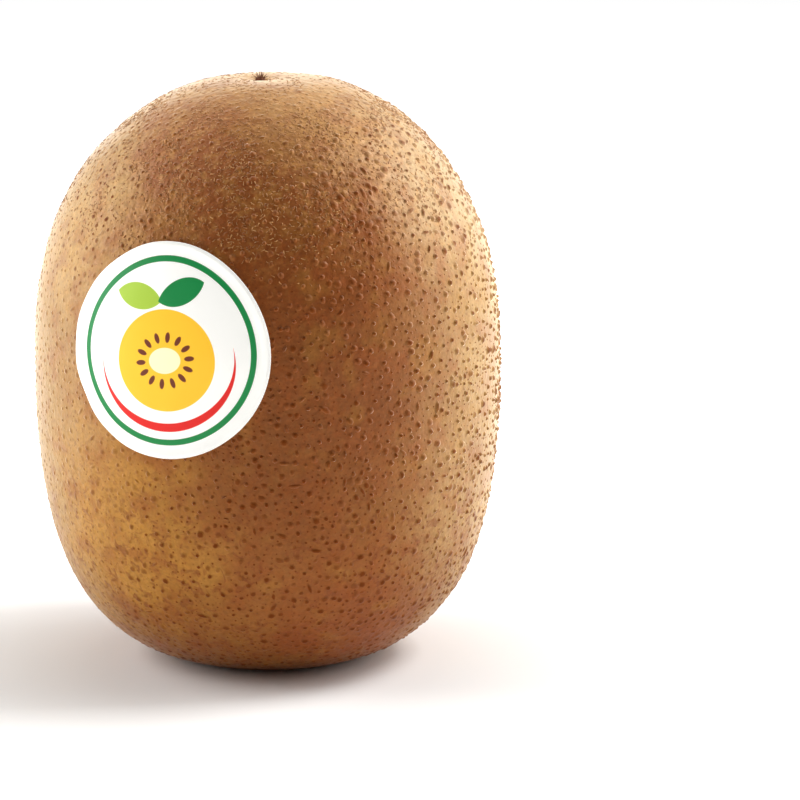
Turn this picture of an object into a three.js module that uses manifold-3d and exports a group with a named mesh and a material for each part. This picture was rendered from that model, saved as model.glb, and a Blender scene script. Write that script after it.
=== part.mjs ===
// A whole golden kiwi fruit, standing upright on its stem end.
//
// The grown body is one solid: a barrel a little squarer below its middle than above it, slightly
// flattened from front to back, with a shallow dip in its crown and a hollow in its base. Around that
// hollow runs the flat ring that it stands on. The dried parts of the flower are pieces of their own:
// a tuft of style stubs in the crown, and the woody stem scar with five sepals in the base. A thin
// round paper label is stuck on the flank.
//
// Millimetres. +Z runs up the fruit's own axis, -Y is the front, and the origin is the middle of the
// flat ring.

import * as THREE from "three";
import { mergeVertices } from "three/addons/utils/BufferGeometryUtils.js";
import Module from "manifold-3d";

// The body
const HEIGHT = 70;
const WIDTH = 55.7; // across X at the widest section
const DEPTH = 52.9; // across Y there
const WIDEST_AT = 38; // height of that section
const CROWN_POWER = 2.15; // roundness of the outline above it: 2 is an ellipse, more is squarer
const BASE_POWER = 2.9; // and below it
const BASE_CUT = 1.0; // how far the flat ring lies above the outline's own lowest point
const CROWN_TILT = 0.018; // rise of the crown towards +X, per millimetre
const CROWN_TILT_FROM = 58; // height where that rise starts
const LUMPS = [
  // waves round the body: share of the radius, count, phase, and phase gained from base to crown
  { share: 0.0045, count: 2, phase: 0.9, twist: 0.5 },
  { share: 0.0045, count: 3, phase: 1.9, twist: 1.4 },
  { share: 0.0025, count: 5, phase: 0.4, twist: -1.1 },
];

// The crown and the style stubs
const CROWN_RADIUS = 9; // the crown is a little flatter than the outline within this radius
const CROWN_FLATTENING = 0.6;
const DIP_RADIUS = 3.6;
const DIP_DEPTH = 0.35;
const STYLE_PIT_RADIUS = 0.9;
const STYLE_PIT_DEPTH = 0.8;
const STYLE_PIT_OFFSET = -0.7; // along X, because the fruit's core runs a little askew
const STUB_COUNT = 11;
const STUB_LENGTH = 1.0;
const STUB_THICK = 0.34;
const STUB_LEAN = 1.15; // radians from upright

// The base, the stem scar and the sepals
const HOLLOW_RADIUS = 9;
const HOLLOW_DEPTH = 2.8;
const SCAR_RADIUS = 2.3;
const SCAR_THICK = 1.3;
const SCAR_PIT_DEPTH = 0.9;
const SEPAL_COUNT = 5;
const SEPAL_LENGTH = 3.9;
const SEPAL_WIDTH = 2.9;
const SEPAL_THICK = 0.66;
const SEPAL_ROOT = 1.2; // radius where a sepal starts, inside the scar

// The label
const LABEL_WIDTH = 25.6; // along the flank
const LABEL_HEIGHT = 24.8;
const LABEL_THICK = 0.4;
const LABEL_AT = 41.5; // height of its middle
const LABEL_TURN = THREE.MathUtils.degToRad(-24); // round the axis from the front, towards -X

const GAP = 0.25; // clearance between neighbouring pieces

// Fineness
const AROUND = 72;
const SIDE_STEPS = 36;
const BASE_STEPS = 7;
const CROWN_STEPS = 8;
const LABEL_AROUND = 44;
const LABEL_RINGS = 5;

const wasm = await Module();
wasm.setup();

// ---- The outline and the surface

const REACH_ABOVE = HEIGHT + CROWN_FLATTENING - WIDEST_AT;
const REACH_BELOW = WIDEST_AT + BASE_CUT;

/** Radius of the outline at this height. */
function outlineRadius(z) {
  const above = z > WIDEST_AT;
  const reach = above ? REACH_ABOVE : REACH_BELOW;
  const power = above ? CROWN_POWER : BASE_POWER;
  const share = Math.pow(Math.abs(z - WIDEST_AT) / reach, power);
  return (WIDTH / 2) * Math.pow(1 - share, 1 / power);
}

/** A rounded bump of height 1 at the axis that has died away at the given radius. */
function bump(radius, reach) {
  return radius < reach ? 0.5 * (1 + Math.cos((Math.PI * radius) / reach)) : 0;
}

const hollowHeight = (radius) => HOLLOW_DEPTH * bump(radius, HOLLOW_RADIUS);

/** Height of the flattened and dipped crown at this radius. */
function crownHeight(radius) {
  const share = Math.pow(radius / (WIDTH / 2), CROWN_POWER);
  const round = WIDEST_AT + REACH_ABOVE * Math.pow(1 - share, 1 / CROWN_POWER);
  const flattening = CROWN_FLATTENING * bump(radius, CROWN_RADIUS);
  return round - flattening - DIP_DEPTH * bump(radius, DIP_RADIUS);
}

/** A point of the upright round outline, brought to the body's real cross-section at that angle. */
function shaped(radius, angle, z) {
  let swell = 1;
  for (const { share, count, phase, twist } of LUMPS)
    swell += share * Math.cos(count * angle + phase + (twist * z) / HEIGHT);
  const shift = z > WIDEST_AT ? STYLE_PIT_OFFSET * bump(radius, CROWN_RADIUS) : 0;
  const x = radius * swell * Math.cos(angle) + shift;
  const y = radius * swell * Math.sin(angle) * (DEPTH / WIDTH);
  const tilted = THREE.MathUtils.smoothstep(z, CROWN_TILT_FROM, HEIGHT);
  return new THREE.Vector3(x, y, z + CROWN_TILT * x * tilted);
}

const flankPoint = (angle, z) => shaped(outlineRadius(z), angle, z);

/** The outward direction of the flank there. */
function flankNormal(angle, z) {
  const step = 0.01;
  const round = flankPoint(angle + step, z).sub(flankPoint(angle - step, z));
  const up = flankPoint(angle, z + step).sub(flankPoint(angle, z - step));
  return round.cross(up).normalize();
}

// ---- Small helpers

/** The outline's side, from the flat ring to where the crown's own rings start. */
class Side extends THREE.Curve {
  constructor() {
    super();
    this.topAngle = Math.acos(
      Math.pow(CROWN_RADIUS / (WIDTH / 2), CROWN_POWER / 2),
    );
    const lowest = WIDEST_AT / REACH_BELOW;
    this.baseAngle = -Math.asin(Math.pow(lowest, BASE_POWER / 2));
  }
  getPoint(t) {
    const a = THREE.MathUtils.lerp(this.baseAngle, this.topAngle, t);
    const above = a > 0;
    const power = above ? CROWN_POWER : BASE_POWER;
    const reach = above ? REACH_ABOVE : -REACH_BELOW;
    const radius = (WIDTH / 2) * Math.pow(Math.cos(a), 2 / power);
    const z = WIDEST_AT + reach * Math.pow(Math.abs(Math.sin(a)), 2 / power);
    return new THREE.Vector3(radius, z, 0);
  }
}

/** A lathe whose axis is Z, from [radius, height] pairs that run up the outside. */
function lathe(pairs, around) {
  const points = pairs.map(([radius, z]) => new THREE.Vector2(radius, z));
  return new THREE.LatheGeometry(points, around).rotateX(Math.PI / 2);
}

/** Moves every vertex of a geometry to where place(x, y, z) says. */
function moved(geometry, place) {
  const at = geometry.getAttribute("position");
  for (let i = 0; i < at.count; i++) {
    const p = place(at.getX(i), at.getY(i), at.getZ(i));
    at.setXYZ(i, p.x, p.y, p.z);
  }
  geometry.computeVertexNormals();
  return geometry;
}

function toSolid(geometry) {
  const bare = geometry.clone();
  bare.deleteAttribute("normal");
  bare.deleteAttribute("uv");
  const merged = mergeVertices(bare, 1e-4);
  return new wasm.Manifold(
    new wasm.Mesh({
      numProp: 3,
      vertProperties: merged.getAttribute("position").array,
      triVerts: new Uint32Array(merged.index.array),
    }),
  );
}

function toGeometry(solid) {
  const mesh = solid.getMesh();
  const geometry = new THREE.BufferGeometry();
  geometry.setAttribute(
    "position",
    new THREE.BufferAttribute(mesh.vertProperties, 3),
  );
  geometry.setIndex(new THREE.BufferAttribute(mesh.triVerts, 1));
  geometry.computeVertexNormals();
  return geometry;
}

const joined = (geometries) =>
  toGeometry(geometries.map(toSolid).reduce((a, b) => a.add(b)));

// ---- The pieces

function bodyGeometry() {
  const scarPit = SCAR_RADIUS + GAP;
  const scarCeiling = HOLLOW_DEPTH + SCAR_PIT_DEPTH;
  const profile = [
    [0, scarCeiling],
    [scarPit, scarCeiling],
  ];
  const side = new Side();
  const footRadius = side.getPoint(0).x;
  for (let i = 0; i <= BASE_STEPS; i++) {
    const radius = THREE.MathUtils.lerp(scarPit, HOLLOW_RADIUS, i / BASE_STEPS);
    profile.push([radius, hollowHeight(radius)]);
  }
  profile.push([(HOLLOW_RADIUS + footRadius) / 2, 0]);
  for (const p of side.getSpacedPoints(SIDE_STEPS)) profile.push([p.x, p.y]);
  for (let i = 1; i <= CROWN_STEPS; i++) {
    const share = i / CROWN_STEPS;
    const radius = THREE.MathUtils.lerp(CROWN_RADIUS, STYLE_PIT_RADIUS, share);
    profile.push([radius, crownHeight(radius)]);
  }
  const pitFloor = crownHeight(STYLE_PIT_RADIUS) - STYLE_PIT_DEPTH;
  profile.push([STYLE_PIT_RADIUS, pitFloor], [0, pitFloor]);
  return moved(lathe(profile, AROUND), (x, y, z) =>
    shaped(Math.hypot(x, y), Math.atan2(y, x), z),
  );
}

/** Dried stubs that lean out all round from a short plug. */
function styleStubsGeometry() {
  const plugRadius = STYLE_PIT_RADIUS - GAP;
  const plugTop = crownHeight(0);
  const plugFloor = plugTop - STYLE_PIT_DEPTH + GAP;
  const plug = lathe(
    [
      [0, plugFloor],
      [plugRadius, plugFloor],
      [plugRadius, plugTop + 0.25],
      [0, plugTop + 0.45],
    ],
    12,
  );
  const stubs = Array.from({ length: STUB_COUNT }, (_, i) => {
    const long = STUB_LENGTH * (1 - 0.3 * ((i * 0.618) % 1));
    const lean = STUB_LEAN * (1 - 0.35 * ((i * 0.382) % 1));
    return new THREE.CylinderGeometry(STUB_THICK * 0.3, STUB_THICK * 0.6, long, 5)
      .translate(0, long / 2, 0)
      .rotateX(Math.PI / 2)
      .rotateY(lean)
      .translate(0.2, 0, plugTop + 0.18)
      .rotateZ((i * 2 * Math.PI) / STUB_COUNT + 0.2 * Math.sin(3 * i));
  });
  return joined([plug, ...stubs]).translate(STYLE_PIT_OFFSET, 0, 0);
}

/** One sepal: a lens with a pointed tip that follows the hollow's surface below its gap. */
function sepalGeometry(turn) {
  return moved(new THREE.SphereGeometry(1, 14, 10), (u, v, w) => {
    const along = (u + 1) / 2;
    const narrowing = along > 0.55 ? 1 - Math.pow((along - 0.55) / 0.45, 2) * 0.7 : 1;
    const radius = SEPAL_ROOT + along * SEPAL_LENGTH;
    const across = (v * narrowing * SEPAL_WIDTH) / 2;
    const middle = hollowHeight(radius) - GAP - SEPAL_THICK / 2;
    const p = new THREE.Vector3(radius, across, middle + (w * SEPAL_THICK) / 2);
    return p.applyAxisAngle(new THREE.Vector3(0, 0, 1), turn);
  });
}

/** The woody scar of the stalk, cupped below, with the sepals round it. */
function stemScarGeometry() {
  const top = HOLLOW_DEPTH + SCAR_PIT_DEPTH - GAP;
  const low = top - SCAR_THICK - SCAR_PIT_DEPTH + GAP;
  const scar = lathe(
    [
      [0, low + 0.45],
      [SCAR_RADIUS * 0.35, low + 0.35],
      [SCAR_RADIUS * 0.7, low],
      [SCAR_RADIUS, low + 0.25],
      [SCAR_RADIUS, top],
      [0, top],
    ],
    20,
  );
  const sepals = Array.from({ length: SEPAL_COUNT }, (_, i) =>
    sepalGeometry(((i + 0.2 * Math.sin(2 * i)) * 2 * Math.PI) / SEPAL_COUNT),
  );
  return joined([scar, ...sepals]);
}

/** A thin disc whose flat face is bent to the flank and held off it by the gap. */
function labelGeometry() {
  const profile = [[0, 0]];
  for (let i = 1; i <= LABEL_RINGS; i++) profile.push([i / LABEL_RINGS, 0]);
  for (let i = LABEL_RINGS; i >= 0; i--) profile.push([i / LABEL_RINGS, 1]);
  const front = -Math.PI / 2;
  const flankRadius = outlineRadius(LABEL_AT);
  return moved(lathe(profile, LABEL_AROUND), (u, v, layer) => {
    const across = (u * LABEL_WIDTH) / 2;
    const angle = front + LABEL_TURN + across / flankRadius;
    const z = LABEL_AT + (v * LABEL_HEIGHT) / 2;
    const away = GAP + layer * LABEL_THICK;
    return flankPoint(angle, z).addScaledVector(flankNormal(angle, z), away);
  });
}

// ---- The fruit

function piece(name, geometry, color, roughness) {
  const material = new THREE.MeshStandardMaterial({
    color,
    roughness,
    metalness: 0,
  });
  const mesh = new THREE.Mesh(geometry, material);
  mesh.name = name;
  return mesh;
}

const kiwi = new THREE.Group();
kiwi.add(
  piece("fruit_body", bodyGeometry(), 0xa9743f, 0.55),
  piece("style_stubs", styleStubsGeometry(), 0x4a2c1a, 0.9),
  piece("stem_scar", stemScarGeometry(), 0x5c4028, 0.9),
  piece("paper_label", labelGeometry(), 0xf7f5ee, 0.4),
);

export default kiwi;
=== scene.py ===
"""The looks of a whole golden kiwi fruit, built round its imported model.

Everything is in metres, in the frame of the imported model: +Z runs up the fruit's own axis, -Y is the
front, and the origin is the middle of the flat ring that the fruit stands on.
"""

import math
import random

import bmesh
import bpy
from mathutils import Matrix, Vector, noise


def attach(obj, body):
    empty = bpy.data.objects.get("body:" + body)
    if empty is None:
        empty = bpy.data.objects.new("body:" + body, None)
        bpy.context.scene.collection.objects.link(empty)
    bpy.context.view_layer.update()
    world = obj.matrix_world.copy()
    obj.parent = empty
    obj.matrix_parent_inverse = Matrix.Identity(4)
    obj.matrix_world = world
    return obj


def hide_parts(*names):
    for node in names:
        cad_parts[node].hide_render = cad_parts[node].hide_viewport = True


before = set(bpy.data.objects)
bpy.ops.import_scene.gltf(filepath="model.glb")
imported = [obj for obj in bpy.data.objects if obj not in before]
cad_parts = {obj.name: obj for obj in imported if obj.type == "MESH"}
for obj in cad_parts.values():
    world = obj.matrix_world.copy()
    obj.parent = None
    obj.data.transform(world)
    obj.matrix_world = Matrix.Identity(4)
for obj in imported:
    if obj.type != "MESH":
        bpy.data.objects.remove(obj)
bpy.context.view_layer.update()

MM = 0.001
BODY = "root"

# ---- Sizes: the body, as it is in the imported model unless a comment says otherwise

HEIGHT = 70 * MM
WIDTH = 55.7 * MM
DEPTH = 52.9 * MM
WIDEST_AT = 38 * MM
CROWN_POWER = 2.15
BASE_POWER = 2.9
BASE_CUT = 1 * MM
CROWN_TILT = 0.018
CROWN_TILT_FROM = 58 * MM
LUMPS = [  # share of the radius, count, phase, and phase gained from base to crown
    (0.0045, 2, 0.9, 0.5),
    (0.0045, 3, 1.9, 1.4),
    (0.0025, 5, 0.4, -1.1),
]

CROWN_RADIUS = 9 * MM
CROWN_FLATTENING = 0.6 * MM
DIP_RADIUS = 3.6 * MM
DIP_DEPTH = 0.35 * MM
STYLE_PIT_RADIUS = 0.9 * MM
STYLE_PIT_DEPTH = 0.8 * MM
STYLE_PIT_OFFSET = -0.7 * MM

HOLLOW_RADIUS = 9 * MM
HOLLOW_DEPTH = 2.8 * MM
SCAR_RADIUS = 2.3 * MM
SCAR_THICK = 1.3 * MM
SCAR_PIT_DEPTH = 0.9 * MM
SEPAL_COUNT = 5
SEPAL_LENGTH = 3.5 * MM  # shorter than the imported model's, and rooted farther out, to bare the scar
SEPAL_WIDTH = 2.9 * MM
SEPAL_ROOT = 1.6 * MM
SEPAL_TIP = 0.12 * MM  # half of its width: a tip that ended in a point couldn't be given a wall
SEPAL_THICK = 0.22 * MM  # dried thin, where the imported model's are stout
GAP = 0.25 * MM

REACH_ABOVE = HEIGHT + CROWN_FLATTENING - WIDEST_AT
REACH_BELOW = WIDEST_AT + BASE_CUT

# ---- Sizes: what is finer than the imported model

SKIN_AROUND = 330  # steps of the spin
SKIN_STEP = 0.42 * MM  # along the outline
WAVES = [  # the skin's low unevenness: size of one swelling, and height
    (13 * MM, 0.10 * MM),
    (4.5 * MM, 0.045 * MM),
    (1.9 * MM, 0.020 * MM),
]

DOT_COUNT = 5600
DOT_SPACING = (0.62 * MM, 1.30 * MM)  # least distance between two, from crowded to open places
DOT_LENGTH = (0.42 * MM, 0.90 * MM)
DOT_HEIGHT = (0.14 * MM, 0.28 * MM)
SPECK_COUNT = 7800
SPECK_SPACING = (0.42 * MM, 0.95 * MM)
SPECK_LENGTH = (0.22 * MM, 0.40 * MM)
SPECK_HEIGHT = (0.04 * MM, 0.10 * MM)
DOT_RINGS = [  # share of the radius, of the height, and of the darkness
    (0.46, 0.82, 1.0),
    (0.76, 0.36, 0.30),
    (1.0, 0.0, 0.0),
]
DOT_SKIRT = 1.3  # how much wider a dot's foot is than its dark middle
DOT_WOBBLE = 0.35  # of its outline
DOT_SINK = 0.012 * MM  # of its foot into the skin
TRIES_PER_PLACE = 60  # for a free place on the skin

SCURF_COUNT = 8500  # at most: the tries run out at about 5800
SCURF_SPACING = (0.22 * MM, 0.55 * MM)
SCURF_LENGTH = (0.22 * MM, 0.55 * MM)
SCURF_THICK = 0.15 * MM
SCURF_STEPS = 3

SKIN_PATCHES = [  # centre and reach in mm, strength and colour of broad patches on the peel
    ((-16.6, -19, 20), 19, 0.70, "#BE8634"),
    ((-9.4, -14.5, 64.5), 14, 0.60, "#964519"),
    ((10, -10, 66), 14, 0.50, "#B8844C"),
    # painted shade: this deep russet patch darkens the lower front
    ((3.5, -26, 38), 28, 0.80, "#75350D"),
    # painted light: this pale patch brightens the upper left flank
    ((-20.8, -10.4, 55.4), 15, 0.65, "#C49A5E"),
    # painted light: this pale patch brightens the upper right flank
    ((24, -4, 62), 20, 0.50, "#D2BC96"),
    ((2, -21, 56), 17, 0.50, "#7E3A0C"),
    ((-26, -4, 28), 17, 0.60, "#A67C3C"),
    ((28, -4, 38), 14, 0.40, "#9C743A"),
    ((11, -15, 9.3), 14, 0.50, "#8A3C1A"),
    ((-6, 25, 44), 18, 0.45, "#8E4417"),
    ((6, 20, 14), 15, 0.45, "#A8752F"),
]

STUB_COUNT = 13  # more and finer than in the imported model
STUB_LENGTH = 1.1 * MM
STUB_THICK = 0.19 * MM
STUB_STEPS = 5
STUB_LEAN = 1.15

LABEL_WIDTH = 25.6 * MM
LABEL_HEIGHT = 24.8 * MM
LABEL_THICK = 0.12 * MM  # film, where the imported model's is thick enough to be a sound solid
LABEL_LIFT = 0.10 * MM  # of its back over the skin, clear of the skin's own swellings
LABEL_AT = 41.5 * MM
LABEL_TURN = math.radians(-24)
LABEL_SLANT = math.radians(8)  # of its print, up to the right
LABEL_RINGS = 26
LABEL_AROUND = 96
SLICE_MIDDLE = (0, -1.0)  # of the printed slice of fruit, in millimetres from the label's middle
SEED_COUNT = 14

# ---- Sizes: the studio

CAMERA_ELEVATION = math.radians(12)
CAMERA_DISTANCE = 520 * MM
CAMERA_LENS = 194.2  # on a sensor 36 wide, both in the camera's own millimetres
AIM = Vector((15.9, -0.9, 31.0)) * MM  # the fruit stands left of the middle of the view
LIGHTS_AIM = Vector((0, 0, 38)) * MM
FLOOR_GLOW = 0.85
FLOOR_GLOW_FROM_TO = (15 * MM, 110 * MM)  # how far from the axis it starts, and reaches its full strength

FRONT = -math.pi / 2
random.seed(41)


# ---- The surface of the fruit


def bump(radius, reach):
    """A rounded bump, 1 high at the axis, that has died away at the given radius."""
    if radius >= reach:
        return 0.0
    return 0.5 * (1 + math.cos(math.pi * radius / reach))


def smoothstep(value, low, high):
    t = min(max((value - low) / (high - low), 0.0), 1.0)
    return t * t * (3 - 2 * t)


def lerp(low, high, t):
    return low + (high - low) * t


def outline_radius(z):
    above = z > WIDEST_AT
    reach = REACH_ABOVE if above else REACH_BELOW
    power = CROWN_POWER if above else BASE_POWER
    share = (abs(z - WIDEST_AT) / reach) ** power
    return WIDTH / 2 * (1 - share) ** (1 / power)


def hollow_height(radius):
    return HOLLOW_DEPTH * bump(radius, HOLLOW_RADIUS)


def crown_height(radius):
    share = (radius / (WIDTH / 2)) ** CROWN_POWER
    round_top = WIDEST_AT + REACH_ABOVE * (1 - share) ** (1 / CROWN_POWER)
    return (
        round_top
        - CROWN_FLATTENING * bump(radius, CROWN_RADIUS)
        - DIP_DEPTH * bump(radius, DIP_RADIUS)
    )


def shaped(radius, angle, z):
    """A point of the upright round outline, brought to the body's real cross-section."""
    swell = 1 + sum(
        share * math.cos(count * angle + phase + twist * z / HEIGHT)
        for share, count, phase, twist in LUMPS
    )
    shift = STYLE_PIT_OFFSET * bump(radius, CROWN_RADIUS) if z > WIDEST_AT else 0.0
    x = radius * swell * math.cos(angle) + shift
    y = radius * swell * math.sin(angle) * DEPTH / WIDTH
    tilted = smoothstep(z, CROWN_TILT_FROM, HEIGHT)
    return Vector((x, y, z + CROWN_TILT * x * tilted))


def unevenness(point):
    """Height of the skin's low swellings at a point. It dies away at the ring that stands on the floor."""
    total = sum(high * noise.noise(point / size) for size, high in WAVES)
    return total * smoothstep(point.z, 0.3 * MM, 5 * MM)


def side_points():
    """Radius and height along the outline, from the flat ring to where the crown starts."""
    low = -math.asin((WIDEST_AT / REACH_BELOW) ** (BASE_POWER / 2))
    high = math.acos((CROWN_RADIUS / (WIDTH / 2)) ** (CROWN_POWER / 2))
    points = []
    for i in range(2001):
        a = lerp(low, high, i / 2000)
        power, reach = (CROWN_POWER, REACH_ABOVE) if a > 0 else (BASE_POWER, -REACH_BELOW)
        radius = WIDTH / 2 * math.cos(a) ** (2 / power)
        points.append((radius, WIDEST_AT + reach * abs(math.sin(a)) ** (2 / power)))
    return points


def spaced(points, step):
    """Points along the same line that lie about one step apart, with its two ends."""
    gone = [0.0]
    for (r0, z0), (r1, z1) in zip(points, points[1:]):
        gone.append(gone[-1] + math.hypot(r1 - r0, z1 - z0))
    count = max(1, round(gone[-1] / step))
    result, j = [], 0
    for i in range(count + 1):
        want = gone[-1] * i / count
        while j < len(points) - 2 and gone[j + 1] < want:
            j += 1
        t = (want - gone[j]) / (gone[j + 1] - gone[j])
        result.append(tuple(lerp(a, b, t) for a, b in zip(points[j], points[j + 1])))
    return result


def outer_outline(step):
    """Radius and height of everything that can carry a dot: hollow, flat ring, flank and crown."""
    scar_edge = SCAR_RADIUS + GAP
    count = 200
    hollow_radii = [lerp(scar_edge, HOLLOW_RADIUS, i / count) for i in range(count + 1)]
    hollow = [(radius, hollow_height(radius)) for radius in hollow_radii]
    crown_radii = [lerp(CROWN_RADIUS, STYLE_PIT_RADIUS, i / count) for i in range(1, count + 1)]
    crown = [(radius, crown_height(radius)) for radius in crown_radii]
    return spaced(hollow + side_points() + crown, step)


OUTLINE = outer_outline(SKIN_STEP)


def on_skin(along, angle):
    """A point of the skin: along runs from 0 at the stem scar to 1 at the style pit."""
    place = min(max(along, 0.0), 1.0) * (len(OUTLINE) - 1)
    i = min(int(place), len(OUTLINE) - 2)
    radius, z = (lerp(a, b, place - i) for a, b in zip(OUTLINE[i], OUTLINE[i + 1]))
    return shaped(radius, angle, z)


def skin_frame(along, angle):
    """The point there, and the directions round the fruit, up its outline and outwards."""
    d_along = 0.5 / len(OUTLINE)
    d_angle = 0.01
    point = on_skin(along, angle)
    up = on_skin(along + d_along, angle) - on_skin(along - d_along, angle)
    round_it = on_skin(along, angle + d_angle) - on_skin(along, angle - d_angle)
    out = round_it.cross(up).normalized()
    point += out * unevenness(point)
    round_it.normalize()
    return point, round_it, out.cross(round_it), out


# ---- Small helpers for meshes and pieces


def finish_piece(bm, name, material):
    """Makes the mesh an object at the origin that rides on the body."""
    bmesh.ops.recalc_face_normals(bm, faces=bm.faces)
    for face in bm.faces:
        face.smooth = True
    mesh = bpy.data.meshes.new(name)
    bm.to_mesh(mesh)
    bm.free()
    piece = bpy.data.objects.new(name, mesh)
    bpy.context.scene.collection.objects.link(piece)
    mesh.materials.append(material)
    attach(piece, BODY)
    return piece


def spun(profile, steps):
    """A closed bmesh of revolution about Z, from radius and height pairs that end on the axis."""
    bm = bmesh.new()
    verts = [bm.verts.new((radius, 0, z)) for radius, z in profile]
    edges = [bm.edges.new(pair) for pair in zip(verts, verts[1:])]
    bmesh.ops.spin(
        bm,
        geom=verts + edges,
        cent=(0, 0, 0),
        axis=(0, 0, 1),
        angle=2 * math.pi,
        steps=steps,
        use_merge=True,
    )
    bmesh.ops.remove_doubles(bm, verts=bm.verts, dist=0.002 * MM)
    return bm


def planted(bm, template, place, layer=None, strength=1.0):
    """Adds a copy of the template mesh, moves each new vertex with place(), and scales its tone.
    Nothing may have been deleted from the bmesh before, because new vertices then aren't its last."""
    bm.from_mesh(template)
    bm.verts.ensure_lookup_table()
    for vert in bm.verts[-len(template.vertices) :]:
        vert.co = place(vert.co)
        if layer:
            vert[layer] *= strength


# ---- Materials


def srgb(code):
    """An sRGB colour such as "#B98A45" as the linear colour that a socket holds."""
    parts = [int(code[i : i + 2], 16) / 255 for i in (1, 3, 5)]
    linear = [c / 12.92 if c <= 0.04045 else ((c + 0.055) / 1.055) ** 2.4 for c in parts]
    return (*linear, 1.0)


def add(tree, kind, inputs=None, **settings):
    """Adds a node. A value in inputs that is a socket is linked, and any other is set."""
    node = tree.nodes.new("ShaderNode" + kind)
    for name, value in settings.items():
        setattr(node, name, value)
    for name, value in (inputs or {}).items():
        if isinstance(value, bpy.types.NodeSocket):
            tree.links.new(value, node.inputs[name])
        else:
            node.inputs[name].default_value = value
    return node


def new_material(name):
    material = bpy.data.materials.new(name)
    material.use_nodes = True
    tree = material.node_tree
    return material, tree, tree.nodes["Principled BSDF"]


# The sockets of a Mix node that mixes colours
FACTOR, MIX_A, MIX_B, MIXED = 0, 6, 7, 2


def blend(tree, factor, low, high, blend_type="MIX"):
    """Colour that goes from low to high with the factor."""
    inputs = {FACTOR: factor, MIX_A: low, MIX_B: high}
    mixer = add(tree, "Mix", inputs, data_type="RGBA", blend_type=blend_type)
    return mixer.outputs[MIXED]


def ramp(tree, value, low, high, to_low=0.0, to_high=1.0):
    """Smooth step of a value from low to high."""
    inputs = {"Value": value, "From Min": low, "From Max": high, "To Min": to_low, "To Max": to_high}
    return add(tree, "MapRange", inputs, interpolation_type="SMOOTHSTEP").outputs["Result"]


def patches(tree, place, size, detail=2.0, roughness=0.5, distortion=0.0):
    """Soft noise from 0 to 1 whose patches are about this many metres wide."""
    inputs = {
        "Vector": place,
        "Scale": 1 / size,
        "Detail": detail,
        "Roughness": roughness,
        "Distortion": distortion,
    }
    return add(tree, "TexNoise", inputs).outputs["Fac"]


def maths(tree, operation, first, second=0.0):
    node = add(tree, "Math", {0: first, 1: second}, operation=operation)
    return node.outputs[0]


def patch(tree, place, centre, reach, strength):
    """One broad soft-edged patch round a point of the skin."""
    warp = add(tree, "TexNoise", {"Vector": place, "Scale": 1 / (7 * MM), "Detail": 2.0})
    bend = add(tree, "VectorMath", {0: warp.outputs["Color"], 1: (0.5, 0.5, 0.5)}, operation="SUBTRACT")
    inputs = {0: bend.outputs["Vector"], 1: (18 * MM, 18 * MM, 18 * MM), 2: place}
    bent = add(tree, "VectorMath", inputs, operation="MULTIPLY_ADD")
    inputs = {0: bent.outputs["Vector"], 1: Vector(centre) * MM}
    away = add(tree, "VectorMath", inputs, operation="DISTANCE").outputs["Value"]
    return ramp(tree, away, reach * MM, 0.25 * reach * MM, 0.0, strength)


def freckled(tree, place, under, size, share, strength, ink):
    """Puts a soft round freckle in a share of the cells of this size."""
    warp = add(tree, "TexNoise", {"Vector": place, "Scale": 1 / (0.4 * MM), "Detail": 1.0})
    bend = add(tree, "VectorMath", {0: warp.outputs["Color"], 3: 0.22 * MM}, operation="SCALE")
    bent = add(tree, "VectorMath", {0: place, 1: bend.outputs["Vector"]}, operation="ADD")
    cells = add(tree, "TexVoronoi", {"Vector": bent.outputs["Vector"], "Scale": 1 / size})
    spot = ramp(tree, cells.outputs["Distance"], 0.40, 0.12)
    luck = add(tree, "SeparateColor", {"Color": cells.outputs["Color"]}).outputs["Red"]
    chosen = ramp(tree, luck, 1 - share, 1.0)
    mask = maths(tree, "MULTIPLY", spot, chosen)
    return blend(tree, maths(tree, "MULTIPLY", mask, strength), under, srgb(ink))


def peel_regions(tree, place, axes):
    """The peel's broad colours: golden brown, with painted shade as russet in front, behind and round the
    base, painted light on the paler flanks and crown, and single patches, two of them painted light and
    one painted shade."""
    broad = ramp(tree, patches(tree, place, 15 * MM, 2), 0.36, 0.64)
    colour = blend(tree, broad, srgb("#AC7A3C"), srgb("#9A622C"))
    # painted shade: a darker russet on the front and the back, the faces that the side lamps miss
    front_or_back = maths(tree, "ABSOLUTE", axes.outputs["Y"])
    painted_shade_front_back = ramp(tree, front_or_back, 6 * MM, 26 * MM, 0.0, 0.65)
    colour = blend(tree, painted_shade_front_back, colour, srgb("#8A4514"))
    # painted shade: a darker russet round the base, near the floor
    painted_shade_base = ramp(tree, axes.outputs["Z"], 18 * MM, 2 * MM)
    colour = blend(tree, maths(tree, "MULTIPLY", painted_shade_base, 0.5), colour, srgb("#84400F"))
    # painted light: paler flanks, where the side lamps fall
    sideways = maths(tree, "ABSOLUTE", axes.outputs["X"])
    painted_light_flanks = ramp(tree, sideways, 12 * MM, 25 * MM, 0.0, 0.5)
    colour = blend(tree, painted_light_flanks, colour, srgb("#B49A66"))
    # painted light: a paler crown, where the top lamps fall
    painted_light_crown = ramp(tree, axes.outputs["Z"], 61 * MM, 69 * MM)
    colour = blend(tree, maths(tree, "MULTIPLY", painted_light_crown, 0.5), colour, srgb("#C89858"))
    for centre, reach, strength, ink in SKIN_PATCHES:
        colour = blend(tree, patch(tree, place, centre, reach, strength), colour, srgb(ink))
    return colour


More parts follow.
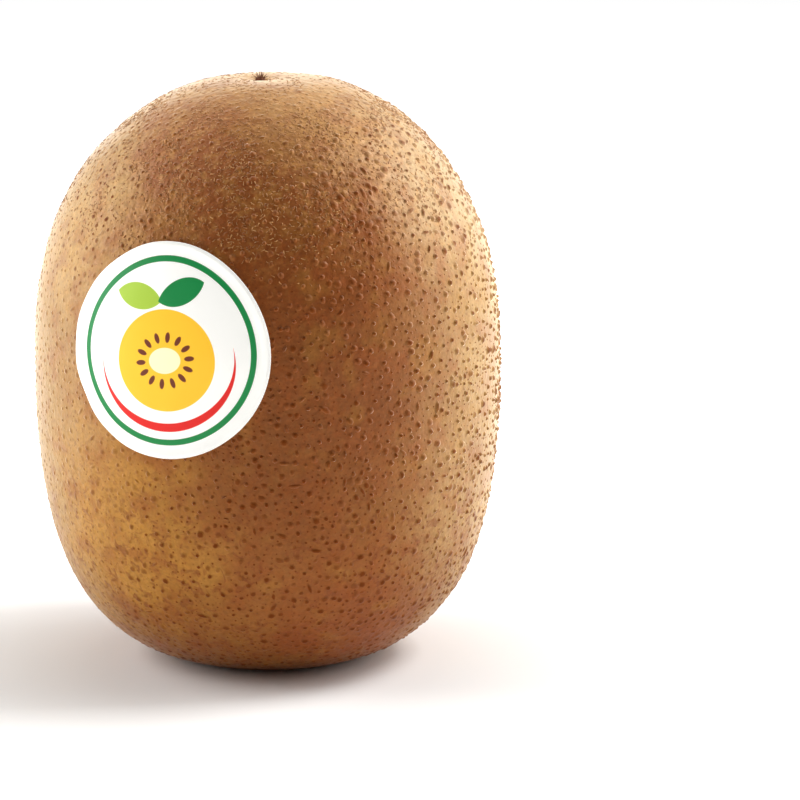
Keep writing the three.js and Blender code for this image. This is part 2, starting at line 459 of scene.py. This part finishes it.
def peel_mottle(tree, place, axes, colour):
    """What lies over the broad colours: blotches some millimetres wide, freckles, pale flecks of
    torn hair round the crown, and dark wisps towards the base."""
    blotches = ramp(tree, patches(tree, place, 3.6 * MM, 3, 0.6), 0.44, 0.68)
    colour = blend(tree, maths(tree, "MULTIPLY", blotches, 0.50), colour, srgb("#8A4216"))
    golden = ramp(tree, patches(tree, place, 4.4 * MM, 2, 0.5, 0.4), 0.50, 0.70)
    colour = blend(tree, maths(tree, "MULTIPLY", golden, 0.28), colour, srgb("#A8762F"))
    colour = freckled(tree, place, colour, 0.95 * MM, 0.55, 0.40, "#6E310F")
    colour = freckled(tree, place, colour, 0.62 * MM, 0.50, 0.35, "#7C3A14")
    flecks = ramp(tree, patches(tree, place, 1.0 * MM, 3, 0.6), 0.46, 0.70)
    flecks_here = ramp(tree, axes.outputs["Z"], 46 * MM, 62 * MM, 0.05, 0.42)
    colour = blend(tree, maths(tree, "MULTIPLY", flecks, flecks_here), colour, srgb("#CC944E"))
    wisps = ramp(tree, patches(tree, place, 1.4 * MM, 2, 0.6, 1.2), 0.52, 0.68)
    wisps_here = ramp(tree, axes.outputs["Z"], 34 * MM, 16 * MM, 0.10, 0.60)
    return blend(tree, maths(tree, "MULTIPLY", wisps, wisps_here), colour, srgb("#783512"))


def peel_relief(tree, place, axes):
    """Pores, and leathery creases that are deeper towards the crown. Both are drawn coarser than the
    real grain, which is too fine to show."""
    pores = patches(tree, place, 0.35 * MM, 2, 0.5)
    fine = add(tree, "Bump", {"Height": pores, "Strength": 0.5, "Distance": 0.05 * MM})
    leathery = patches(tree, place, 0.8 * MM, 2, 0.5)
    crumpled = ramp(tree, axes.outputs["Z"], 46 * MM, 60 * MM, 0.5, 1.0)
    inputs = {"Height": leathery, "Strength": crumpled, "Normal": fine.outputs["Normal"]}
    return add(tree, "Bump", {**inputs, "Distance": 0.22 * MM}).outputs["Normal"]


def add_down(tree, shader, axes, tone):
    """The last short down, which lights up where light grazes it. It is worn off the lower half,
    partly rubbed off the top, and absent from the dots."""
    worn = ramp(tree, axes.outputs["Z"], 38 * MM, 8 * MM, 0.0, 0.9)
    rubbed = ramp(tree, axes.outputs["Z"], 61 * MM, 69 * MM, 0.0, 0.22)
    bare = maths(tree, "MAXIMUM", maths(tree, "MAXIMUM", worn, rubbed), tone)
    tree.links.new(ramp(tree, bare, 0.0, 1.0, 1.0, 0.0), shader.inputs["Sheen Weight"])
    shader.inputs["Sheen Roughness"].default_value = 0.32
    shader.inputs["Sheen Tint"].default_value = srgb("#FFEFD0")
    down = add(tree, "BsdfSheen", {"Color": blend(tree, bare, srgb("#F6F0E6"), srgb("#000000"))})
    down.inputs["Roughness"].default_value = 0.30
    both = add(tree, "AddShader", {0: shader.outputs["BSDF"], 1: down.outputs["BSDF"]})
    tree.links.new(both.outputs["Shader"], tree.nodes["Material Output"].inputs["Surface"])


def skin_material():
    """Kiwi fruit skin: a thin, dry, suede-like peel, mottled at every scale from centimetres down to its
    grain, and its broad colours also carry painted light and shade. Its waxy layer gives a soft satin
    shine, and the dots on it are duller and darker."""
    material, tree, shader = new_material("Kiwi peel, brushed of its hairs")
    place = add(tree, "TexCoord").outputs["Object"]
    axes = add(tree, "SeparateXYZ", {"Vector": place})
    colour = peel_mottle(tree, place, axes, peel_regions(tree, place, axes))
    tone = add(tree, "Attribute", attribute_name="tone").outputs["Fac"]
    colour = blend(tree, tone, colour, srgb("#6E3208"))
    grain = patches(tree, place, 0.45 * MM, 3, 0.6)
    colour = blend(tree, 1.0, colour, ramp(tree, grain, 0.25, 0.75, 0.86, 1.14), "MULTIPLY")
    gloss = ramp(tree, patches(tree, place, 1.2 * MM, 2), 0.3, 0.7, 0.46, 0.64)
    tree.links.new(colour, shader.inputs["Base Color"])
    tree.links.new(gloss, shader.inputs["Roughness"])
    tree.links.new(peel_relief(tree, place, axes), shader.inputs["Normal"])
    tree.links.new(ramp(tree, tone, 0.0, 1.0, 0.55, 0.15), shader.inputs["Specular IOR Level"])
    shader.inputs["IOR"].default_value = 1.5
    shader.inputs["Specular Tint"].default_value = srgb("#F6CFA0")
    add_down(tree, shader, axes, tone)
    return material


def scurf_material():
    """Scurf: dry, straw-coloured crumbs of the hairs that were brushed off, dull, with a faint sheen."""
    material, tree, shader = new_material("Scurf, dry broken hairs")
    place = add(tree, "TexCoord").outputs["Object"]
    mottle = ramp(tree, patches(tree, place, 1.5 * MM, 1), 0.35, 0.65)
    colour = blend(tree, mottle, srgb("#BE874C"), srgb("#9C622E"))
    tree.links.new(colour, shader.inputs["Base Color"])
    shader.inputs["Roughness"].default_value = 0.6
    shader.inputs["Sheen Weight"].default_value = 0.4
    shader.inputs["Sheen Roughness"].default_value = 0.32
    shader.inputs["Sheen Tint"].default_value = srgb("#FFE0B0")
    return material


def dried_material(name, dark, light, fibre):
    """A dried part of the plant: dull, fibrous, uneven brown."""
    material, tree, shader = new_material(name)
    place = add(tree, "TexCoord").outputs["Object"]
    fibres = patches(tree, place, fibre, 4, 0.7, 0.6)
    colour = blend(tree, ramp(tree, fibres, 0.32, 0.68), srgb(dark), srgb(light))
    relief = add(tree, "Bump", {"Height": fibres, "Strength": 0.8, "Distance": 0.08 * MM})
    tree.links.new(colour, shader.inputs["Base Color"])
    tree.links.new(relief.outputs["Normal"], shader.inputs["Normal"])
    shader.inputs["Roughness"].default_value = 0.85
    return material


def ink_disc(tree, place, centre, half_width, half_height, turn=0.0):
    """1 inside an ellipse on the label and 0 outside, with an edge as soft as print on film."""
    inputs = {"Vector": place, "Location": (*centre, 0), "Rotation": (0, 0, turn)}
    inputs["Scale"] = (half_width, half_height, 1)
    local = add(tree, "Mapping", inputs, vector_type="TEXTURE").outputs["Vector"]
    reach = add(tree, "VectorMath", {0: local}, operation="LENGTH").outputs["Value"]
    edge = 0.05 / min(half_width, half_height)
    return ramp(tree, reach, 1 + edge, 1 - edge)


def label_material():
    """Fruit label: white polyethylene film with four flat inks and a thin satin varnish. The print
    is a plain slice of fruit with two leaves in a ring, in millimetres from the label's middle."""
    material, tree, shader = new_material("Printed label film")
    place = add(tree, "UVMap", uv_map="print").outputs["UV"]
    white, amber, red = srgb("#FAF9F4"), srgb("#FBC22A"), srgb("#DE1B12")
    green, lime = srgb("#07803E"), srgb("#A5C53F")
    seed = srgb("#6A2C14")

    def disc(*shape):
        return ink_disc(tree, place, *shape)

    def printed(under, mask, ink):
        return blend(tree, mask, under, ink)

    colour = printed(white, disc((0, 0), 11.2, 10.9), green)
    colour = printed(colour, disc((0, 0), 10.5, 10.2), white)
    smile = maths(tree, "SUBTRACT", disc((0, -1.4), 8.6, 7.9), disc((0, -0.7), 8.5, 7.6))
    colour = printed(colour, maths(tree, "MAXIMUM", smile, 0.0), red)
    colour = printed(colour, disc(SLICE_MIDDLE, 6.2, 5.9), amber)
    colour = printed(colour, disc(SLICE_MIDDLE, 2.0, 1.5), srgb("#FFF3C4"))
    for i in range(SEED_COUNT):
        a = 2 * math.pi * i / SEED_COUNT
        middle = (3.1 * math.cos(a), SLICE_MIDDLE[1] + 2.7 * math.sin(a))
        colour = printed(colour, disc(middle, 0.62, 0.30, a), seed)
    for side, ink in ((-1, lime), (1, green)):
        upper = disc((side * 3.1, 5.2), 3.6, 2.9, side * 0.35)
        lower = disc((side * 2.5, 8.0), 3.6, 2.9, side * 0.35)
        colour = printed(colour, maths(tree, "MULTIPLY", upper, lower), ink)

    creases = patches(tree, place, 5.0, 2, 0.5)
    relief = add(tree, "Bump", {"Height": creases, "Strength": 0.25, "Distance": 0.08 * MM})
    tree.links.new(colour, shader.inputs["Base Color"])
    tree.links.new(relief.outputs["Normal"], shader.inputs["Normal"])
    tree.links.new(colour, shader.inputs["Emission Color"])
    shader.inputs["Emission Strength"].default_value = 0.18  # painted light: a faint glow that makes the label look whiter than its lighting does
    shader.inputs["Roughness"].default_value = 0.5
    shader.inputs["Specular IOR Level"].default_value = 0.35
    return material


# ---- The pieces


def make_skin(material):
    """The body, spun from its outline and given the skin's low unevenness."""
    ceiling = HOLLOW_DEPTH + SCAR_PIT_DEPTH
    scar_edge = SCAR_RADIUS + GAP
    pit_floor = crown_height(STYLE_PIT_RADIUS) - STYLE_PIT_DEPTH
    below = [(0, ceiling), (scar_edge * 0.6, ceiling), (scar_edge * 0.96, ceiling)]
    above = [(STYLE_PIT_RADIUS * 0.9, pit_floor), (STYLE_PIT_RADIUS * 0.4, pit_floor), (0, pit_floor)]
    bm = spun(below + OUTLINE + above, SKIN_AROUND)
    bm.verts.layers.float.new("tone")
    for vert in bm.verts:
        radius, angle = math.hypot(vert.co.x, vert.co.y), math.atan2(vert.co.y, vert.co.x)
        vert.co = shaped(radius, angle, vert.co.z)
    bmesh.ops.recalc_face_normals(bm, faces=bm.faces)
    bm.normal_update()
    heights = [unevenness(vert.co) for vert in bm.verts]
    for vert, height in zip(bm.verts, heights):
        vert.co += vert.normal * height
    piece = finish_piece(bm, "skin", material)
    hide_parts("fruit_body")


def under_label(point):
    """True where the label covers the skin."""
    angle = math.atan2(point.y * WIDTH / DEPTH, point.x)
    across = (angle - FRONT - LABEL_TURN) * outline_radius(LABEL_AT)
    up = point.z - LABEL_AT
    return (across / (LABEL_WIDTH / 2)) ** 2 + (up / (LABEL_HEIGHT / 2)) ** 2 < 1.02


def scattered(count, spacing, taken, likely=lambda point: 1.0):
    """Random places on the skin, as along and angle, kept apart from those already taken and from
    one another, and thinned where less likely."""
    widest = max(radius for radius, _ in OUTLINE)
    cell = DOT_SPACING[1]
    places = []
    for _ in range(count * TRIES_PER_PLACE):
        if len(places) == count:
            break
        along, angle = random.random(), random.uniform(-math.pi, math.pi)
        radius = OUTLINE[round(along * (len(OUTLINE) - 1))][0]
        if random.random() * widest > radius:
            continue
        point = on_skin(along, angle)
        if under_label(point) or random.random() > likely(point):
            continue
        open_place = smoothstep(noise.noise(point / (5 * MM)), -0.5, 0.5)
        room = lerp(*spacing, 0.4 * open_place + 0.6 * random.random())
        home = tuple(math.floor(c / cell) for c in point)
        near = (
            other
            for dx in (-1, 0, 1)
            for dy in (-1, 0, 1)
            for dz in (-1, 0, 1)
            for other in taken.get((home[0] + dx, home[1] + dy, home[2] + dz), ())
        )
        if any((other - point).length < room for other in near):
            continue
        taken.setdefault(home, []).append(point)
        places.append((along, angle))
    return places


def dot_template(sides):
    """One dot, 1 across and 1 high: a bell with a dark top and a foot that fades into the skin."""
    bm = bmesh.new()
    tone = bm.verts.layers.float.new("tone")
    radius = DOT_RINGS[0][0]
    top = bmesh.ops.create_circle(bm, cap_ends=True, cap_tris=True, segments=sides, radius=radius)
    for vert in top["verts"]:
        vert.co.z = DOT_RINGS[0][1]
        vert[tone] = DOT_RINGS[0][2]
    centre = min(top["verts"], key=lambda vert: vert.co.xy.length)
    centre.co.z = 1.0
    rim = [edge for edge in bm.edges if edge.is_boundary]
    for radius, height, darkness in DOT_RINGS[1:]:
        grown = bmesh.ops.extrude_edge_only(bm, edges=rim)["geom"]
        for vert in (item for item in grown if isinstance(item, bmesh.types.BMVert)):
            vert.co.xy = vert.co.xy.normalized() * radius
            vert.co.z = height
            vert[tone] = darkness
        rim = [item for item in grown if isinstance(item, bmesh.types.BMEdge)]
    template = bpy.data.meshes.new("dot_template")
    bm.to_mesh(template)
    bm.free()
    return template


def dot_character(point):
    """Shares of the usual size, height and darkness of a dot: fine and pale in the middle of the
    upper front and back, low on the left and dark above there, larger and higher on the right, broad
    and low towards the base, and low and pale on the very top."""
    upper = smoothstep(point.z, 44 * MM, 58 * MM)
    left = smoothstep(-point.x, 9 * MM, 19 * MM)
    right = smoothstep(point.x, 0, 12 * MM)
    middle = upper * (1 - left) * (1 - right)
    base = 1 - smoothstep(point.z, 12 * MM, 34 * MM)
    top = smoothstep(point.z, 65 * MM, 69 * MM)
    size = lerp(0.95, 0.8, middle) * lerp(1.0, 0.85, left * upper) * lerp(1.0, 1.1, base)
    size *= lerp(1.0, 1.08, right) * lerp(1.0, 1.12, right * upper)
    height = lerp(1.0, 1.15, right) * lerp(1.0, 0.8, upper) * lerp(1.0, 0.4, left)
    height *= lerp(1.0, 0.5, base) * lerp(1.0, 0.35, top)
    darkness = lerp(0.9, 0.55, middle) * lerp(1.0, 0.6, left * (1 - upper))
    darkness *= lerp(1.0, 1.3, left * upper) * lerp(1.0, 1.3, base) * lerp(1.0, 0.6, top)
    return size, height, darkness


def make_dots(name, places, sides, lengths, heights, darkness, material):
    """Raised dark dots on the skin: the corky feet of its hairs."""
    template = dot_template(sides)
    bm = bmesh.new()
    tone = bm.verts.layers.float.new("tone")
    for along, angle in places:
        point, round_it, up, out = skin_frame(along, angle)
        grain = math.pi * noise.noise(point / (9 * MM)) + random.gauss(0, 0.7)
        size_here, height_here, darkness_here = dot_character(point)
        length = lerp(*lengths, random.random() ** 1.6) * size_here
        stretch = 1.5 if random.random() < 0.06 else 1.0
        width = length * random.uniform(0.75, 1.0) / stretch
        turn = Matrix.Rotation(grain, 3, "Z")
        axes = Matrix((round_it, up, out)).transposed() @ turn
        off_floor = smoothstep(point.z, 0.1 * MM, 2 * MM)
        height = lerp(*heights, random.random()) * height_here * off_floor
        size = Vector((length / 2 * DOT_SKIRT * stretch, width / 2 * DOT_SKIRT, height))
        form = Vector((random.uniform(0, 99), random.uniform(0, 99), 0))

        def place(co):
            wobble = 1 + DOT_WOBBLE * noise.noise(co.xy.to_3d() * 1.2 + form)
            flat = co.xy * wobble
            return point + axes @ Vector((flat.x * size.x, flat.y * size.y, co.z * size.z - DOT_SINK))

        planted(bm, template, place, tone, min(1.0, random.uniform(*darkness) * darkness_here))
    bpy.data.meshes.remove(template)
    finish_piece(bm, name, material)


def make_all_dots(material):
    """The larger dots first, and then the small ones in the room between them."""
    taken = {}
    large = scattered(DOT_COUNT, DOT_SPACING, taken)
    make_dots("skin_dots", large, 7, DOT_LENGTH, DOT_HEIGHT, (0.25, 1.0), material)
    small = scattered(SPECK_COUNT, SPECK_SPACING, taken)
    make_dots("skin_specks", small, 5, SPECK_LENGTH, SPECK_HEIGHT, (0.3, 1.0), material)


def strand_template(steps):
    """A three-sided strand along X, 1 long and 1 thick, that tapers to its tip."""
    bm = bmesh.new()
    ring = bmesh.ops.create_circle(bm, cap_ends=True, segments=3, radius=0.5)["verts"]
    bmesh.ops.rotate(bm, verts=ring, cent=(0, 0, 0), matrix=Matrix.Rotation(math.pi / 2, 3, "Y"))
    front = list(bm.faces)
    for step in range(steps):
        grown = bmesh.ops.extrude_face_region(bm, geom=front)["geom"]
        if step > 0:  # the first face stays, and closes the root
            bmesh.ops.delete(bm, geom=front, context="FACES_ONLY")
        verts = [item for item in grown if isinstance(item, bmesh.types.BMVert)]
        front = [item for item in grown if isinstance(item, bmesh.types.BMFace)]
        bmesh.ops.translate(bm, verts=verts, vec=(1 / steps, 0, 0))
        thinner = 1 - 0.75 * (step + 1) / steps
        for vert in verts:
            vert.co.yz = vert.co.yz.normalized() * 0.5 * thinner
    template = bpy.data.meshes.new("strand_template")
    bm.to_mesh(template)
    bm.free()
    return template


def make_scurf(material):
    """Short crumbs of hair that lie curled on the skin in drifts, thickest round the crown."""
    template = strand_template(SCURF_STEPS)
    bm = bmesh.new()

    def likely(point):
        drift = smoothstep(noise.noise(point / (5 * MM) + Vector((5, 5, 5))), -0.1, 0.3)
        high = smoothstep(point.z, 49 * MM, 62 * MM)
        top = smoothstep(point.z, 66.5 * MM, 69.5 * MM)
        aside = smoothstep(abs(point.x), 8 * MM, 20 * MM)
        return high * lerp(1.0, 0.12, top) * lerp(0.10, 1.0, drift) * lerp(1.0, 0.2, aside)

    for along, angle in scattered(SCURF_COUNT, SCURF_SPACING, {}, likely):
        point, round_it, up, out = skin_frame(along, angle)
        turn = Matrix.Rotation(random.uniform(0, 2 * math.pi), 3, "Z")
        axes = Matrix((round_it, up, out)).transposed() @ turn
        length = lerp(*SCURF_LENGTH, random.random())
        thick = SCURF_THICK * random.uniform(0.8, 1.5)
        curl = random.uniform(-0.5, 0.5) * length
        lift = random.uniform(0.0, 0.16) * length

        def place(co):
            bow = curl * co.x * (1 - co.x)
            height = lift * co.x * (1 - 0.8 * co.x)
            return point + axes @ Vector((co.x * length, co.y * thick + bow, co.z * thick + height))

        planted(bm, template, place)
    bpy.data.meshes.remove(template)
    finish_piece(bm, "scurf", material)


def make_style_stubs(material):
    """The tuft of dried style stubs that lean out of the pit in the crown."""
    floor = crown_height(STYLE_PIT_RADIUS) - STYLE_PIT_DEPTH
    top = crown_height(0)
    plug = [(0, floor + GAP), (0.55 * MM, floor + GAP), (0.65 * MM, top - 0.1 * MM)]
    plug += [(0.6 * MM, top + 0.2 * MM), (0.3 * MM, top + 0.35 * MM), (0, top + 0.4 * MM)]
    root_disc = spun(plug, 18)
    for vert in root_disc.verts:
        vert.co.xy *= 1 + 0.18 * noise.noise(vert.co / (0.5 * MM))
    template = strand_template(STUB_STEPS)
    bm = bmesh.new()
    for i in range(STUB_COUNT):
        turn = 2 * math.pi * i / STUB_COUNT + random.uniform(-0.2, 0.2)
        lean = STUB_LEAN * random.uniform(0.2, 1.0)
        length = STUB_LENGTH * random.uniform(0.75, 1.15)
        droop = random.uniform(0.0, 0.25) * length
        swing = random.uniform(-0.15, 0.15) * length
        axes = Matrix.Rotation(turn, 3, "Z") @ Matrix.Rotation(lean - math.pi / 2, 3, "Y")
        root = Vector((0.15 * MM, 0, top + 0.15 * MM))

        def place(co):
            bent = Vector((co.x * length, co.y * STUB_THICK + swing * co.x**2, co.z * STUB_THICK))
            spot = axes @ bent + Matrix.Rotation(turn, 3, "Z") @ root
            return spot - Vector((0, 0, droop * co.x**2))

        planted(bm, template, place)
    template.clear_geometry()
    root_disc.to_mesh(template)
    root_disc.free()
    bm.from_mesh(template)
    bpy.data.meshes.remove(template)
    bmesh.ops.translate(bm, verts=bm.verts, vec=(STYLE_PIT_OFFSET, 0, 0))
    piece = finish_piece(bm, "style_tuft", material)
    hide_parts("style_stubs")


def make_stem_scar(material):
    """The cupped, ringed scar that the stalk left in the base."""
    top = HOLLOW_DEPTH + SCAR_PIT_DEPTH - GAP
    low = top - SCAR_THICK - SCAR_PIT_DEPTH + GAP
    rings = []
    for i in range(25):
        share = i / 24
        cup = 0.45 * MM * (1 - share**2) + 0.06 * MM * math.cos(share * 6 * math.pi)
        rings.append((SCAR_RADIUS * 0.9 * share, low + cup))
    edge = [(SCAR_RADIUS * 0.98, low + 0.3 * MM), (SCAR_RADIUS, low + 0.6 * MM), (SCAR_RADIUS, top)]
    bm = spun(rings + edge + [(0, top)], 72)
    for vert in bm.verts:
        if vert.co.z < top - 0.1 * MM:
            vert.co.z += 0.10 * MM * noise.noise(vert.co / (0.7 * MM))
            vert.co.xy *= 1 + 0.02 * noise.noise(vert.co / (0.9 * MM))
    piece = finish_piece(bm, "stalk_scar", material)
    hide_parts("stem_scar")


def make_sepals(material):
    """Five dried sepals that lie round the scar against the hollow, curled at their edges."""
    bm = bmesh.new()
    for i in range(SEPAL_COUNT):
        turn = Matrix.Rotation((i + 0.2 * math.sin(2 * i)) * 2 * math.pi / SEPAL_COUNT, 3, "Z")
        grid = bmesh.ops.create_grid(bm, x_segments=22, y_segments=14, size=1)["verts"]
        for vert in grid:
            along, across = (vert.co.x + 1) / 2, vert.co.y
            half = SEPAL_WIDTH / 2 * math.sin(math.pi * min(1.0, 0.22 + 0.78 * along)) ** 0.7
            half = max(half, SEPAL_TIP)
            radius = SEPAL_ROOT + along * SEPAL_LENGTH
            curl = 0.35 * MM * across**2 * along
            crumple = 0.12 * MM * noise.noise(Vector((along * 5, across * 3, i * 7.3)))
            height = hollow_height(radius) - GAP - 0.25 * MM - curl + crumple
            vert.co = turn @ Vector((radius, across * half, height))
    bmesh.ops.recalc_face_normals(bm, faces=bm.faces)
    bmesh.ops.solidify(bm, geom=bm.faces[:], thickness=SEPAL_THICK)
    finish_piece(bm, "sepals", material)


def flank(angle, z):
    return shaped(outline_radius(z), angle, z)


def flank_out(angle, z):
    step = 0.01
    round_it = flank(angle + step, z) - flank(angle - step, z)
    up = flank(angle, z + step * MM) - flank(angle, z - step * MM)
    return round_it.cross(up).normalized()


def make_label(material):
    """The round label, bent to the flank, with its print laid out on a UV map in millimetres."""
    bm = bmesh.new()
    bmesh.ops.create_circle(bm, cap_ends=True, cap_tris=True, segments=LABEL_AROUND, radius=1.0)
    spokes = [edge for edge in bm.edges if not edge.is_boundary]
    bmesh.ops.subdivide_edges(bm, edges=spokes, cuts=LABEL_RINGS, use_grid_fill=True)
    uv = bm.loops.layers.uv.new("print")
    slant = Matrix.Rotation(-LABEL_SLANT, 2)
    for face in bm.faces:
        for loop in face.loops:
            flat = Vector((loop.vert.co.x * LABEL_WIDTH / 2, loop.vert.co.y * LABEL_HEIGHT / 2))
            loop[uv].uv = slant @ flat / MM
    for vert in bm.verts:
        angle = FRONT + LABEL_TURN + vert.co.x * LABEL_WIDTH / 2 / outline_radius(LABEL_AT)
        z = LABEL_AT + vert.co.y * LABEL_HEIGHT / 2
        point, out = flank(angle, z), flank_out(angle, z)
        edge = smoothstep(vert.co.xy.length, 0.9, 1.0)
        loose = 0.40 * MM * edge * (1 + noise.noise(point / (5 * MM)))
        vert.co = point + out * (unevenness(point) + LABEL_LIFT + loose)
    bmesh.ops.recalc_face_normals(bm, faces=bm.faces)
    bmesh.ops.solidify(bm, geom=bm.faces[:], thickness=-LABEL_THICK)
    piece = finish_piece(bm, "printed_label", material)
    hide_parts("paper_label")


# ---- The studio


def make_floor():
    """A wide table top of matt white acrylic that glows with painted light of its own: not near the fruit,
    and fully farther out.
    """
    bm = bmesh.new()
    bmesh.ops.create_circle(bm, cap_ends=True, segments=96, radius=4.0)
    mesh = bpy.data.meshes.new("floor")
    bm.to_mesh(mesh)
    bm.free()
    floor = bpy.data.objects.new("floor", mesh)
    bpy.context.scene.collection.objects.link(floor)
    material, tree, shader = new_material("Matt white acrylic")
    place = add(tree, "TexCoord").outputs["Object"]
    colour = blend(tree, patches(tree, place, 40 * MM, 2), srgb("#EDECEA"), srgb("#F1F0EE"))
    reach = add(tree, "VectorMath", {0: place}, operation="LENGTH").outputs["Value"]
    # painted light: the floor's own glow, none near the fruit and full from the outer radius on
    glow = ramp(tree, reach, *FLOOR_GLOW_FROM_TO, 0.0, FLOOR_GLOW)
    tree.links.new(colour, shader.inputs["Base Color"])
    tree.links.new(glow, shader.inputs["Emission Strength"])
    shader.inputs["Emission Color"].default_value = srgb("#FFFFFF")
    shader.inputs["Roughness"].default_value = 0.9
    shader.inputs["Specular IOR Level"].default_value = 0.1
    mesh.materials.append(material)


def softbox(name, azimuth, elevation, distance, width, height, power):
    """A rectangular white light that faces the fruit, with its place in degrees and metres.
    Azimuth 0 is the front, and 90 the right."""
    data = bpy.data.lights.new(name, "AREA")
    data.shape = "RECTANGLE"
    data.size, data.size_y = width, height
    data.energy = power
    light = bpy.data.objects.new(name, data)
    bpy.context.scene.collection.objects.link(light)
    a, e = math.radians(azimuth), math.radians(elevation)
    away = Vector((math.sin(a) * math.cos(e), -math.cos(a) * math.cos(e), math.sin(e)))
    light.location = LIGHTS_AIM + away * distance
    light.rotation_euler = away.to_track_quat("Z", "Y").to_euler()


def make_studio():
    make_floor()
    softbox("left_box", azimuth=-98, elevation=24, distance=0.40, width=0.32, height=0.34, power=1.95)
    softbox("right_box", azimuth=104, elevation=24, distance=0.40, width=0.34, height=0.34, power=1.5)
    softbox("upper_box", azimuth=100, elevation=48, distance=0.40, width=0.15, height=0.15, power=1.1)
    softbox("top_box", azimuth=180, elevation=62, distance=0.42, width=0.34, height=0.26, power=0.38)
    world = bpy.data.worlds.new("studio_air")
    world.use_nodes = True
    tree = world.node_tree
    air = tree.nodes["Background"]
    seen = add(tree, "LightPath").outputs["Is Camera Ray"]
    tree.links.new(ramp(tree, seen, 0.0, 1.0, 0.05, 0.97), air.inputs["Strength"])
    air.inputs["Color"].default_value = srgb("#FFFFFF")
    bpy.context.scene.world = world
    bpy.context.scene.view_settings.view_transform = "Standard"


def make_camera():
    data = bpy.data.cameras.new("camera")
    data.lens = CAMERA_LENS
    data.sensor_width = 36
    data.clip_start, data.clip_end = 0.01, 20
    camera = bpy.data.objects.new("camera", data)
    bpy.context.scene.collection.objects.link(camera)
    back = Vector((0, -math.cos(CAMERA_ELEVATION), math.sin(CAMERA_ELEVATION)))
    camera.location = AIM + back * CAMERA_DISTANCE
    camera.rotation_euler = back.to_track_quat("Z", "Y").to_euler()
    bpy.context.scene.camera = camera


peel = skin_material()
make_skin(peel)
make_all_dots(peel)
make_scurf(scurf_material())
make_style_stubs(dried_material("Dried style stubs", "#4A2110", "#8A5230", 0.25 * MM))
make_stem_scar(dried_material("Stalk scar, corky wood", "#6A4526", "#B8935F", 0.5 * MM))
make_sepals(dried_material("Dried sepals", "#3E2412", "#80522A", 0.6 * MM))
make_label(label_material())
make_studio()
make_camera()
